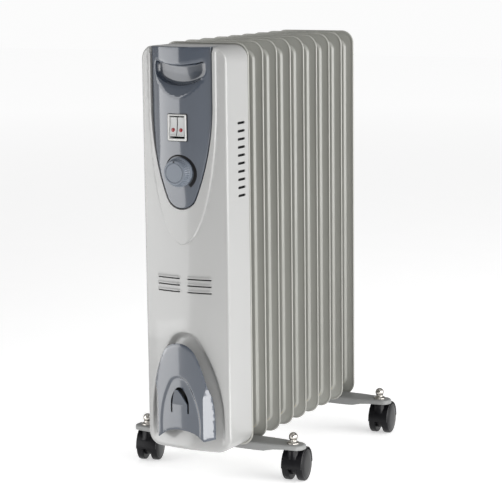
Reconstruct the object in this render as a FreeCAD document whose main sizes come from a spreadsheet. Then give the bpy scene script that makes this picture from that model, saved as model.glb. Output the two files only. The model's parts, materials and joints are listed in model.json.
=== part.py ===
import FreeCAD, Part
import math
import os
import re
import Sketcher
from FreeCAD import Placement, Rotation, Vector

# Oil filled radiator heater on four twin-wheel swivel casters.
# X is to the right, the control cover faces -Y, Z is up.  The origin is on the floor, in the
# middle of the rectangle of the four caster stems.  All sizes are in millimetres and degrees.

DIMENSIONS = {
    # finned radiator body: nine hollow fins of two pressed half shells each
    "fin_pitch": 43.0,
    "fin_width": 140.0,
    "fin_height": 589.0,
    "fin_bottom": 53.0,
    "fin_corner": 20.0,
    "fin_sheet": 0.6,
    "dish_wall": 1.8,
    "hem_width": 2.4,
    "hem_depth": 1.3,
    "fin_flange": 13.0,
    "emboss_depth": 4.6,
    "emboss_corner": 14.0,
    "press_radius": 3.0,
    "header_offset": 247.5,
    "collar_radius": 18.0,
    "port_radius": 16.0,
    "port_length": 12.0,
    "oil_gap": 0.3,
    "oil_level": 560.0,
    # heating element screwed into the bottom header
    "element_radius": 4.2,
    "element_spacing": 14.0,
    "element_length": 330.0,
    "element_flange_radius": 20.0,
    "element_flange_thick": 6.0,
    # control cover: folded steel box with a crowned front
    "cover_width": 138.0,
    "cover_bottom": 57.0,
    "cover_top": 639.0,
    "cover_corner": 20.0,
    "cover_sheet": 1.0,
    "cover_rear": -173.8,
    "cover_edge": -236.0,
    "cover_crest": -246.0,
    "recess_floor": -238.5,
    "recess_width": 61.0,
    "recess_top": 232.0,
    "recess_shoulder": 100.0,
    "recess_tip_radius": 28.0,
    "vent_length": 21.0,
    "vent_height": 3.6,
    "vent_pitch": 11.5,
    "vent_bottom": 426.6,
    "vent_centre": -194.8,
    "louvre_length": 38.0,
    "louvre_height": 2.4,
    "louvre_pitch": 9.6,
    "louvre_top": 309.0,
    "louvre_inner": 6.0,
    # control panel: crowned moulding that tapers to a rounded tip
    "panel_width": 49.0,
    "panel_top": 638.6,
    "panel_shoulder": 560.0,
    "panel_tip": 410.0,
    "panel_tip_radius": 25.0,
    "panel_edge": -240.0,
    "panel_crest": -255.0,
    "panel_tip_crest": -248.0,
    "panel_slope_start": 500.0,
    "panel_wall": 2.5,
    "panel_rear": -236.4,
    "panel_gap": 0.6,
    "panel_lip": 3.0,
    "grip_top": 617.0,
    "grip_half": 39.0,
    "grip_drop": 32.0,
    "grip_depth": -214.0,
    "grip_wall": 2.0,
    # switch pair, thermostat and wiring parts
    "switch_z": 526.7,
    "switch_width": 31.0,
    "switch_height": 39.0,
    "sleeve_width": 27.0,
    "sleeve_height": 35.0,
    "sleeve_wall": 1.0,
    "bezel_rear": -255.2,
    "bezel_front": -257.6,
    "sleeve_rear": -240.0,
    "rocker_width": 12.0,
    "rocker_space": 0.2,
    "rocker_half": 12.6,
    "rocker_rise": 3.4,
    "rocker_horn": 3.4,
    "pivot_y": -249.6,
    "pivot_radius": 1.45,
    "running_gap": 0.05,
    "lens_radius": 2.8,
    "lens_drop": 4.2,
    "knob_z": 463.0,
    "knob_rear": -255.2,
    "knob_front": -266.4,
    "knob_radius": 17.0,
    "skirt_radius": 21.5,
    "shaft_radius": 3.0,
    "bracket_y": -235.6,
    "bracket_thick": 1.2,
    "shield_y": -192.0,
    "shield_thick": 0.8,
    "gland_y": -212.0,
    "screw_x": 40.0,
    "gland_bore": 3.6,
    # cord tidy: arched moulding in the recess of the cover
    "tidy_width": 50.0,
    "tidy_face": 41.0,
    "tidy_bottom": 76.0,
    "tidy_top": 217.0,
    "tidy_front": -262.0,
    "tidy_wall": 2.5,
    # feet and casters
    "foot_top": 58.5,
    "foot_sheet": 1.5,
    "foot_depth": 38.0,
    "foot_half": 145.0,
    "foot_tip_depth": 26.0,
    "foot_taper": 85.0,
    "foot_flange": 12.0,
    "foot_end_flange": 7.0,
    "stem_x": 125.0,
    "stem_radius": 3.5,
    "dome_radius": 6.8,
    "dome_height": 10.0,
    "bolt_radius": 3.0,
    "bolt_reach": 22.0,
    "wheel_radius": 24.0,
    "wheel_width": 11.4,
    "web_half": 5.1,
    "wheel_gap": 0.4,
    "caster_trail": 14.0,
    "hood_radius": 26.8,
    "hood_inner": 24.8,
    "hood_half": 15.5,
    "axle_radius": 2.5,
}

FIN_COUNT = 9
VENT_COUNT = 10
LOUVRE_ROWS = 3
TIDY_SCREWS = [(41, 90), (37, 150)]
ROCKER_TILT = -8
UP = Rotation()
FRONT = Rotation(Vector(1, 0, 0), 90)
BACK = Rotation(Vector(1, 0, 0), -90)
RIGHT = Rotation(Vector(0, 1, 0), 90)
CASTERS = {
    # name: side, end and heading of each caster, in degrees about the stem
    "front_left": (-1, -1, 14),
    "front_right": (1, -1, 8),
    "rear_left": (-1, 1, -8),
    "rear_right": (1, 1, 7),
}

doc = FreeCAD.newDocument("OilFilledRadiator")
sheet = doc.addObject("Spreadsheet::Sheet", "Dims")
for row, (alias, number) in enumerate(DIMENSIONS.items(), start=1):
    sheet.set(f"A{row}", alias)
    sheet.set(f"B{row}", str(number))
    sheet.setAlias(f"B{row}", alias)
doc.recompute()

nodes = {}


# ---------------------------------------------------------------- helpers
def formula(text):
    """Write bare dimension names as references to the sheet."""
    return re.sub(r"[a-z]\w*", lambda m: "Dims." + m[0] if m[0] in DIMENSIONS else m[0], str(text))


def value(text):
    """The present value of a formula."""
    return float(sheet.evalExpression(formula(text)))


def bind(obj, prop, text):
    obj.setExpression(prop, formula(text))


def place(obj, x="0", y="0", z="0", rotation=UP):
    obj.Placement = Placement(Vector(), rotation)
    for axis, text in zip("xyz", (x, y, z)):
        bind(obj, ".Placement.Base." + axis, text)
    return obj


def node(name, obj):
    """Register a finished sub-part under the name of its file."""
    obj.Label = name
    nodes[name] = obj
    return obj


# ---------------------------------------------------------------- Part helpers
def box(name, size, corner):
    obj = doc.addObject("Part::Box", name)
    for prop, text in zip(("Length", "Width", "Height"), size):
        bind(obj, prop, text)
    return place(obj, *corner)


def cylinder(name, radius, height, base, rotation=UP):
    obj = doc.addObject("Part::Cylinder", name)
    bind(obj, "Radius", radius)
    bind(obj, "Height", height)
    return place(obj, *base, rotation)


def fuse(name, *shapes):
    obj = doc.addObject("Part::MultiFuse", name)
    obj.Shapes = list(shapes)
    return obj


def cut(name, base, *tools):
    obj = doc.addObject("Part::Cut", name)
    obj.Base = base
    obj.Tool = tools[0] if len(tools) == 1 else fuse(name + "_tools", *tools)
    return obj


def common(name, first, second):
    obj = doc.addObject("Part::Common", name)
    obj.Base = first
    obj.Tool = second
    return obj


def group(name, *shapes):
    obj = doc.addObject("Part::Compound", name)
    obj.Links = list(shapes)
    return obj


def copy(name, source, x="0", y="0", z="0", rotation=UP):
    return place(group(name, source), x, y, z, rotation)


def mirror(name, source, normal):
    obj = doc.addObject("Part::Mirroring", name)
    obj.Source = source
    obj.Normal = normal
    return obj


def four_corners(name, source):
    """The source and its mirror images in the two vertical middle planes."""
    pair = group(name + "_pair", source, mirror(name + "_x", source, (1, 0, 0)))
    return group(name, pair, mirror(name + "_y", pair, (0, 1, 0)))


# ---------------------------------------------------------------- PartDesign helpers
def new_body(name, x="0", y="0", z="0"):
    body = doc.addObject("PartDesign::Body", name)
    body.AllowCompound = True
    return place(body, x, y, z)


def new_sketch(body, plane, offset="0"):
    """A sketch on an origin plane of the body, moved along the plane's normal."""
    sketch = body.newObject("Sketcher::SketchObject", body.Name + "_sketch")
    support = next(f for f in body.Origin.OriginFeatures if f.Role == plane)
    sketch.AttachmentSupport = [(support, "")]
    sketch.MapMode = "FlatFace"
    bind(sketch, ".AttachmentOffset.Base.z", offset)
    return sketch


def constrain(sketch, *terms, size=None):
    """Add one constraint; a size is a formula that drives it."""
    if size is None:
        sketch.addConstraint(Sketcher.Constraint(*terms))
        return
    index = sketch.addConstraint(Sketcher.Constraint(*terms, value(size)))
    bind(sketch, f"Constraints[{index}]", size)


def pin(sketch, geo, end, x, y):
    """Hold one end of a line or arc, or a centre, at a place given by two formulas."""
    constrain(sketch, "DistanceX", -1, 1, geo, end, size=x)
    constrain(sketch, "DistanceY", -1, 1, geo, end, size=y)


def arc_through(start, via, end):
    """An arc that runs anticlockwise, as the sketcher keeps its arcs."""
    turn = (via - start).cross(end - via).z
    return Part.Arc(start, via, end) if turn > 0 else Part.Arc(end, via, start)


def circle(sketch, radius, x="0", y="0"):
    centre = Vector(value(x), value(y), 0)
    geo = sketch.addGeometry(Part.Circle(centre, Vector(0, 0, 1), value(radius)))
    constrain(sketch, "Radius", geo, size=radius)
    pin(sketch, geo, 3, x, y)


def polygon(sketch, points, arcs=None):
    """Closed outline through formula points; arcs maps an edge's number to a point it passes."""
    arcs = arcs or {}
    spots = [Vector(value(x), value(y), 0) for x, y in points]
    count = len(points)
    first = sketch.GeometryCount
    for i in range(count):
        start, end = spots[i], spots[(i + 1) % count]
        if i in arcs:
            via = Vector(value(arcs[i][0]), value(arcs[i][1]), 0)
            sketch.addGeometry(arc_through(start, via, end))
        else:
            sketch.addGeometry(Part.LineSegment(start, end))
    ends = []
    for i in range(count):
        arc = sketch.Geometry[first + i]
        reverse = (arc.StartPoint - spots[i]).Length > 1e-6
        ends.append((2, 1) if reverse else (1, 2))
    for i in range(count):
        after = (i + 1) % count
        constrain(sketch, "Coincident", first + i, ends[i][1], first + after, ends[after][0])
        pin(sketch, first + i, ends[i][0], *points[i])
        if i in arcs:
            via = sketch.addGeometry(Part.Point(Vector(value(arcs[i][0]), value(arcs[i][1]), 0)), True)
            pin(sketch, via, 1, *arcs[i])
            constrain(sketch, "PointOnObject", via, 1, first + i)


def rectangle(sketch, width, height, radius=None, x="0", y="0"):
    """Rectangle about a centre, with round corners when a radius is given."""
    w, h = f"({width}) / 2", f"({height}) / 2"
    if radius is None:
        corners = ((-1, -1), (1, -1), (1, 1), (-1, 1))
        polygon(sketch, [(f"{x} + {i} * {w}", f"{y} + {j} * {h}") for i, j in corners])
        return
    points, arcs = [], {}
    bevel = f"({radius}) * {1 - math.sqrt(0.5)}"
    for i, j, turned in ((1, -1, False), (1, 1, True), (-1, 1, False), (-1, -1, True)):
        along = (f"{x} + {i} * ({w} - ({radius}))", f"{y} + {j} * {h}")
        across = (f"{x} + {i} * {w}", f"{y} + {j} * ({h} - ({radius}))")
        arcs[len(points)] = (f"{x} + {i} * ({w} - {bevel})", f"{y} + {j} * ({h} - {bevel})")
        points += [across, along] if turned else [along, across]
    polygon(sketch, points, arcs)


def pointed_oval(sketch, width, flat, shoulder, tip, tip_radius):
    """Two straight sides from a flat end, then side arcs that meet a round tip tangentially."""
    a, e, s, t, r = (value(text) for text in (width, flat, shoulder, tip, tip_radius))
    way = 1 if t > e else -1
    centre = t - way * r
    rise = abs(centre - s)
    side = (a * a + rise * rise - r * r) / (2 * (a - r))
    reach = (side) / (side - r)
    join = Vector(-(side - a) + (side - a) * reach, s + (centre - s) * reach, 0)
    top, low = Vector(a, e, 0), Vector(a, s, 0)
    across = lambda v: Vector(-v.x, v.y, 0)

    def arc(start, end, middle_x, middle_y, radius):
        chord = (start + end) * 0.5 - Vector(middle_x, middle_y, 0)
        via = Vector(middle_x, middle_y, 0) + chord.normalize() * radius
        return arc_through(start, via, end)

    lines = [Part.LineSegment(across(top), top), Part.LineSegment(top, low)]
    arcs = [arc(low, join, a - side, s, side), arc_through(join, Vector(0, t, 0), across(join))]
    arcs.append(arc(across(join), across(low), side - a, s, side))
    first = sketch.addGeometry(lines[0])
    for geometry in (lines[1], *arcs, Part.LineSegment(across(low), across(top))):
        sketch.addGeometry(geometry)
    spots = [across(top), top, low, join, across(join), across(low)]
    begin = []
    for i, spot in enumerate(spots):
        begin.append(1 if (sketch.Geometry[first + i].StartPoint - spot).Length < 1e-6 else 2)
    for i in range(6):
        after = (i + 1) % 6
        kind = "Tangent" if i in (1, 2, 3, 4) else "Coincident"
        constrain(sketch, kind, first + i, 3 - begin[i], first + after, begin[after])
    pin(sketch, first, 1, f"-({width})", flat)
    pin(sketch, first, 2, width, flat)
    constrain(sketch, "Vertical", first + 1)
    constrain(sketch, "Vertical", first + 5)
    constrain(sketch, "DistanceY", -1, 1, first + 1, 2, size=shoulder)
    constrain(sketch, "DistanceY", -1, 1, first + 5, begin[5], size=shoulder)
    constrain(sketch, "Radius", first + 3, size=tip_radius)
    constrain(sketch, "PointOnObject", first + 3, 3, -2)
    constrain(sketch, "DistanceY", -1, 1, first + 3, 3, size=f"{tip} - {way} * ({tip_radius})")


def finish(body, feature, removes):
    """Recompute after a feature and make sure that it really added or removed material."""
    before = feature.BaseFeature.Shape.Volume if feature.BaseFeature else 0.0
    doc.recompute()
    change = feature.Shape.Volume - before
    if not feature.isValid() or (change >= 0 if removes else change <= 0):
        raise RuntimeError(f"{body.Label}: {feature.Name} changed the volume by {change:.3f}")
    body.Tip = feature
    return feature


def pad(body, sketch, length, reverse=False):
    feature = body.newObject("PartDesign::Pad", body.Name + "_pad")
    feature.Profile = sketch
    feature.Reversed = reverse
    bind(feature, "Length", length)
    return finish(body, feature, removes=False)


def pocket(body, sketch, depth, reverse=False):
    feature = body.newObject("PartDesign::Pocket", body.Name + "_pocket")
    feature.Profile = sketch
    feature.Reversed = reverse
    bind(feature, "Length", depth)
    return finish(body, feature, removes=True)


def revolve(body, sketch, axis="V_Axis"):
    feature = body.newObject("PartDesign::Revolution", body.Name + "_turn")
    feature.Profile = sketch
    feature.ReferenceAxis = (sketch, [axis])
    feature.Angle = 360
    return finish(body, feature, removes=False)


def fillet(body, feature, radius, chosen):
    """Round the edges of a feature whose every corner passes the test."""
    names = []
    for number, edge in enumerate(feature.Shape.Edges, start=1):
        if all(chosen(vertex.Point) for vertex in edge.Vertexes):
            names.append(f"Edge{number}")
    rounded = body.newObject("PartDesign::Fillet", body.Name + "_round")
    rounded.Base = (feature, names)
    bind(rounded, "Radius", radius)
    return finish(body, rounded, removes=True)


def at_y(text):
    level = value(text)
    return lambda point: abs(point.y - level) < 1e-3


# ---------------------------------------------------------------- radiator fins
def fin_half(name, necks):
    """Front half shell of one fin about the fin's centre; necks lists (height, radius, reach)."""
    body = new_body(name)
    outline = new_sketch(body, "XZ_Plane")
    rectangle(outline, "fin_width", "fin_height", "fin_corner")
    pad(body, outline, "fin_sheet")
    dish = new_sketch(body, "XZ_Plane")
    rectangle(dish, "fin_width - 2 * fin_flange", "fin_height - 2 * fin_flange", "emboss_corner")
    raised = pad(body, dish, "emboss_depth")
    fillet(body, raised, "press_radius", at_y("-emboss_depth"))
    hollow = new_sketch(body, "XZ_Plane")
    inner = "2 * (fin_flange + dish_wall)"
    rectangle(hollow, f"fin_width - {inner}", f"fin_height - {inner}", "emboss_corner - dish_wall")
    pocket(body, hollow, "emboss_depth - fin_sheet", reverse=True)
    hem = new_sketch(body, "XZ_Plane")
    rectangle(hem, "fin_width", "fin_height", "fin_corner")
    rectangle(hem, "fin_width - 2 * hem_width", "fin_height - 2 * hem_width", "fin_corner - hem_width")
    pad(body, hem, "hem_depth")
    for height, radius, reach in necks:
        neck = new_sketch(body, "XZ_Plane", "emboss_depth")
        circle(neck, radius, "0", height)
        pad(body, neck, f"{reach} - emboss_depth")
        bore = new_sketch(body, "XZ_Plane", reach)
        circle(bore, f"{radius} - fin_sheet", "0", height)
        pocket(body, bore, reach)
    return body


COLLAR = "fin_pitch / 2"
PORT = "(emboss_depth + port_length)"
HEADER_Z = "fin_bottom + fin_height / 2 - header_offset"
FIRST_FIN = "-4 * fin_pitch"
FOOT_LINE = "3.5 * fin_pitch"
PORT_FACE = f"{FIRST_FIN} - {PORT}"


def make_fins():
    headers = [("header_offset", "collar_radius", COLLAR), ("-header_offset", "collar_radius", COLLAR)]
    open_front = fin_half("open_front", headers)
    port_front = fin_half("port_front", [("-header_offset", "port_radius", PORT)])
    blind_front = fin_half("blind_front", [])
    open_rear = mirror("open_rear", open_front, (0, 1, 0))
    blind_rear = mirror("blind_rear", blind_front, (0, 1, 0))
    for i in range(FIN_COUNT):
        front = port_front if i == 0 else open_front
        rear = blind_rear if i == FIN_COUNT - 1 else open_rear
        fin = group(f"fin_{i + 1}", front, rear)
        place(fin, "0", f"{FIRST_FIN} + {i} * fin_pitch", "fin_bottom + fin_height / 2")
        node(f"fin_{i + 1}", fin)


# ---------------------------------------------------------------- oil and heating element
def make_element():
    legs = []
    for side in (-1, 1):
        spot = (f"{side} * element_spacing / 2", f"{PORT_FACE} - 10", HEADER_Z)
        legs.append(cylinder(f"element_leg_{side + 1}", "element_radius", "element_length", spot, BACK))
    bend = doc.addObject("Part::Torus", "element_bend")
    bind(bend, "Radius1", "element_spacing / 2")
    bind(bend, "Radius2", "element_radius")
    bend.Angle3 = 180
    place(bend, "0", f"{PORT_FACE} - 10 + element_length", HEADER_Z)
    tube = node("element_tube", fuse("element_tube", *legs, bend))

    face = ("0", PORT_FACE, HEADER_Z)
    seal = cylinder("gasket_disc", "element_flange_radius", "1", face, FRONT)
    bore = cylinder("gasket_bore", "port_radius - fin_sheet", "1", face, FRONT)
    node("element_gasket", cut("element_gasket", seal, bore))
    plug = cylinder("plug_disc", "element_flange_radius", "element_flange_thick",
                    ("0", f"{PORT_FACE} - 1", HEADER_Z), FRONT)
    node("element_flange", cut("element_flange", plug, tube))
    pins = []
    for side in (-1, 1):
        spot = (f"{side} * element_spacing / 2", f"{PORT_FACE} - 10", HEADER_Z)
        bush = cylinder(f"bush_{side + 1}", "element_radius", "3", spot, FRONT)
        post = cylinder(f"post_{side + 1}", "1.6", "12", spot, FRONT)
        pins.append(fuse(f"terminal_{side + 1}", bush, post))
    node("element_terminals", group("element_terminals", *pins))
    return tube


def make_oil(tube):
    slab = new_body("oil_slab")
    half = "emboss_depth - fin_sheet - oil_gap"
    outline = new_sketch(slab, "XZ_Plane", f"-({half})")
    inset = "2 * (fin_flange + dish_wall + oil_gap)"
    rectangle(outline, f"fin_width - {inset}", f"fin_height - {inset}", "emboss_corner - dish_wall - oil_gap")
    pad(slab, outline, f"2 * ({half})")
    parts = []
    for i in range(FIN_COUNT):
        middle = ("0", f"{FIRST_FIN} + {i} * fin_pitch", "fin_bottom + fin_height / 2")
        parts.append(copy(f"oil_slab_{i}", slab, *middle))
    parts.append(cylinder("oil_header", "collar_radius - fin_sheet - oil_gap", "8 * fin_pitch",
                          ("0", FIRST_FIN, HEADER_Z), BACK))
    air = box("air_space", ("400", "400", "200"), ("-200", "-200", "oil_level"))
    node("oil_charge", cut("oil_charge", fuse("oil_body", *parts), air, tube))


# ---------------------------------------------------------------- cover and shield
def crown_cut(body, half, edge, crest, bottom, height):
    """Cut the front of a block to an arc in plan."""
    sketch = new_sketch(body, "XY_Plane", bottom)
    far = f"{crest} - 20"
    points = [(f"-({half}) - 8", far), (f"{half} + 8", far), (f"{half} + 8", edge), (half, edge),
              (f"-({half})", edge), (f"-({half}) - 8", edge)]
    polygon(sketch, points, {3: ("0", crest)})
    pocket(body, sketch, height, reverse=True)


def cover_block(name, inset, rear):
    """Solid with the cover's outer form, moved inwards by an inset."""
    body = new_body(name)
    outline = new_sketch(body, "XZ_Plane", f"-({rear})")
    rectangle(outline, f"cover_width - 2 * {inset}", f"cover_top - cover_bottom - 2 * {inset}",
              f"cover_corner - {inset}", "0", "(cover_top + cover_bottom) / 2")
    pad(body, outline, f"{rear} - cover_crest")
    crown_cut(body, "cover_width / 2", f"cover_edge + {inset}", f"cover_crest + {inset}",
              "cover_bottom - 10", "700")
    recess = new_sketch(body, "XZ_Plane", "20 - cover_crest")
    pointed_oval(recess, f"recess_width + {inset}", "cover_bottom - 10", "recess_shoulder",
                 f"recess_top + {inset}", f"recess_tip_radius + {inset}")
    pocket(body, recess, f"20 - cover_crest + recess_floor + {inset}")
    return body


def make_cover():
    outer = cover_block("cover_outer", "0", "cover_rear")
    inner = cover_block("cover_inner", "cover_sheet", "cover_rear + 5")
    opening = new_body("panel_opening")
    outline = new_sketch(opening, "XZ_Plane", "-panel_rear")
    pointed_oval(outline, "panel_width + panel_gap", "panel_top + panel_gap", "panel_shoulder",
                 "panel_tip - panel_gap", "panel_tip_radius + panel_gap")
    pad(opening, outline, "40")
    slots = []
    for i in range(VENT_COUNT):
        level = f"vent_bottom + {i} * vent_pitch - vent_height / 2"
        corner = ("-cover_width", "vent_centre - vent_length / 2", level)
        slots.append(box(f"vent_{i}", ("2 * cover_width", "vent_length", "vent_height"), corner))
    for i in range(LOUVRE_ROWS):
        level = f"louvre_top - {i} * louvre_pitch - louvre_height / 2"
        for left in ("louvre_inner", "-louvre_inner - louvre_length"):
            spot = (left, "cover_crest - 5", level)
            slots.append(box(f"louvre_{i}", ("louvre_length", "20", "louvre_height"), spot))
    holes = [cylinder("gland_hole", "7.1", "20", ("0", "gland_y", "cover_bottom - 10"))]
    for side in (-1, 1):
        holes.append(cylinder("cover_hole", "1.8", "20", (f"{side} * screw_x", "gland_y", "cover_bottom - 10")))
        for x, z in TIDY_SCREWS:
            holes.append(cylinder("tidy_hole", "1.7", "20", (f"{side} * {x}", "-230", z), FRONT))
    node("front_cover", cut("front_cover", outer, inner, opening, *slots, *holes))


def make_shield():
    body = new_body("shield_plate")
    outline = new_sketch(body, "XZ_Plane", "-shield_y")
    rectangle(outline, "124", "556", "18", "0", "cover_bottom + 1.2 + 278")
    circle(outline, "element_flange_radius + 4", "0", HEADER_Z)
    pad(body, outline, "shield_thick")
    tab = box("shield_tab", ("94", "38", "1.2"), ("-47", "shield_y - 38", "cover_bottom + 1.2"))
    holes = [cylinder("tab_gland", "8", "20", ("0", "gland_y", "cover_bottom - 5"))]
    for side in (-1, 1):
        holes.append(cylinder("tab_hole", "1.7", "20", (f"{side} * screw_x", "gland_y", "cover_bottom - 5")))
    node("heat_shield", cut("heat_shield", fuse("shield_sheet", body, tab), *holes))
    screws = []
    for side in (-1, 1):
        head = cylinder("cover_screw_head", "3.6", "2", (f"{side} * screw_x", "gland_y", "cover_bottom - 2"))
        shank = cylinder("cover_screw_shank", "1.6", "12", (f"{side} * screw_x", "gland_y", "cover_bottom - 2"))
        screws.append(fuse(f"cover_screw_{side + 1}", head, shank))
    node("cover_screws", group("cover_screws", *screws))


# ---------------------------------------------------------------- control panel and its parts
def panel_block(name, inset, rear):
    """Solid with the panel's outer form, moved inwards by an inset."""
    body = new_body(name)
    outline = new_sketch(body, "XZ_Plane", f"-({rear})")
    pointed_oval(outline, f"panel_width - {inset}", f"panel_top - {inset}", "panel_shoulder",
                 f"panel_tip + {inset}", f"panel_tip_radius - {inset}")
    pad(body, outline, f"{rear} - panel_crest + 2")
    crown_cut(body, "panel_width", f"panel_edge + {inset}", f"panel_crest + {inset}", "panel_tip - 20", "260")
    slope = new_sketch(body, "YZ_Plane", "-80")
    crest, tip = f"panel_crest + {inset}", f"panel_tip_crest + {inset}"
    points = [("panel_crest - 20", "panel_tip - 20"), (tip, "panel_tip - 20"), (tip, "panel_tip"),
              (crest, "panel_slope_start"), ("panel_crest - 20", "panel_slope_start")]
    middle = (f"{crest} + 0.25 * (panel_tip_crest - panel_crest)", "(panel_tip + panel_slope_start) / 2")
    polygon(slope, points, {2: middle})
    pocket(body, slope, "160", reverse=True)
    return body


def grip_block(name, wall, front, depth):
    """Half-moon block of the finger recess, widened by a wall."""
    body = new_body(name)
    outline = new_sketch(body, "XZ_Plane", f"-({depth})")
    top = f"grip_top + {wall}"
    polygon(outline, [(f"-grip_half - {wall}", top), (f"grip_half + {wall}", top)],
            {1: ("0", f"grip_top - grip_drop - {wall}")})
    pad(body, outline, f"{depth} - ({front})")
    return body


def make_panel():
    shell = cut("panel_shell", panel_block("panel_outer", "0", "panel_rear"),
                panel_block("panel_inner", "panel_wall", "panel_rear + 5"))
    lip = new_body("panel_lip_ring")
    ring = new_sketch(lip, "XZ_Plane", "-panel_rear")
    pointed_oval(ring, "panel_width + panel_lip", "panel_top - 1.4", "panel_shoulder",
                 "panel_tip - panel_lip", "panel_tip_radius + panel_lip")
    pointed_oval(ring, "panel_width - panel_wall", "panel_top - panel_wall", "panel_shoulder",
                 "panel_tip + panel_wall", "panel_tip_radius - panel_wall")
    pad(lip, ring, "2")
    window = box("panel_window", ("sleeve_width + 0.4", "40", "sleeve_height + 0.4"),
                 ("-sleeve_width / 2 - 0.2", "panel_crest - 10", "switch_z - sleeve_height / 2 - 0.2"))
    shaft_hole = cylinder("panel_shaft_hole", "6", "40", ("0", "-230", "knob_z"), FRONT)
    grip = grip_block("grip_opening", "0", "panel_crest - 10", "panel_rear + 8")
    panel = cut("control_panel", fuse("panel_sheet", shell, lip), window, shaft_hole, grip)
    node("control_panel", panel)
    cup = cut("grip_cup", grip_block("grip_outer", "grip_wall", "panel_crest - 5", "grip_depth"),
              grip_block("grip_inner", "0", "panel_crest - 10", "grip_depth - grip_wall"))
    limit = panel_block("grip_limit", "(panel_wall + 0.1)", "grip_depth + 1")
    node("handle_cup", common("handle_cup", cup, limit))


def make_switch():
    bezel = box("bezel", ("switch_width", "bezel_rear - bezel_front", "switch_height"),
                ("-switch_width / 2", "bezel_front", "switch_z - switch_height / 2"))
    sleeve = box("sleeve", ("sleeve_width", "sleeve_rear - bezel_front", "sleeve_height"),
                 ("-sleeve_width / 2", "bezel_front", "switch_z - sleeve_height / 2"))
    window = box("sleeve_window", ("sleeve_width - 2 * sleeve_wall", "40", "sleeve_height - 2 * sleeve_wall"),
                 ("sleeve_wall - sleeve_width / 2", "bezel_front - 10",
                  "switch_z - sleeve_height / 2 + sleeve_wall"))
    node("switch_frame", cut("switch_frame", fuse("switch_shell", bezel, sleeve), window))
    block = box("switch_block", ("sleeve_width", "12", "sleeve_height"),
                ("-sleeve_width / 2", "sleeve_rear", "switch_z - sleeve_height / 2"))
    blades = []
    for x in (-8, 6):
        for z in (-10, 0, 10):
            spot = (str(x), "sleeve_rear + 12", f"switch_z + {z} - 3")
            blades.append(box("blade", ("0.8", "8", "6"), spot))
    node("switch_body", fuse("switch_body", block, *blades))
    reach = "sleeve_width / 2 - sleeve_wall"
    node("switch_pin", cylinder("switch_pin", "pivot_radius", f"2 * ({reach})",
                                (f"-({reach})", "pivot_y", "switch_z"), RIGHT))

    # rocker about its pivot, centred on the switch's middle plane, with horned ends
    rocker = new_body("rocker_block")
    side = new_sketch(rocker, "YZ_Plane", "-rocker_width / 2")
    horn = "-rocker_rise - rocker_horn"
    points = [("-rocker_rise", "0"), (horn, "rocker_half"), ("-2", "rocker_half + 1.2"),
              ("3", "rocker_half - 5"), ("3", "5 - rocker_half"), ("-2", "-rocker_half - 1.2"),
              (horn, "-rocker_half")]
    polygon(side, points)
    circle(side, "pivot_radius + running_gap")
    pad(rocker, side, "rocker_width")
    seat = cylinder("lens_seat", "lens_radius + 0.05", "8", ("0", "-rocker_rise + 0.6", "-lens_drop"), FRONT)
    plain = cut("rocker_plain", rocker, seat)
    lens = cylinder("lens_plain", "lens_radius", "3", ("0", "-rocker_rise + 0.6", "-lens_drop"), FRONT)
    tilt = Rotation(Vector(1, 0, 0), ROCKER_TILT)
    for name, way in (("left", -1), ("right", 1)):
        spot = (f"{way} * (rocker_width / 2 + rocker_space)", "pivot_y", "switch_z")
        node(f"rocker_{name}", copy(f"rocker_{name}", plain, *spot, tilt))
        node(f"lens_{name}", copy(f"lens_{name}", lens, *spot, tilt))


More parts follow.
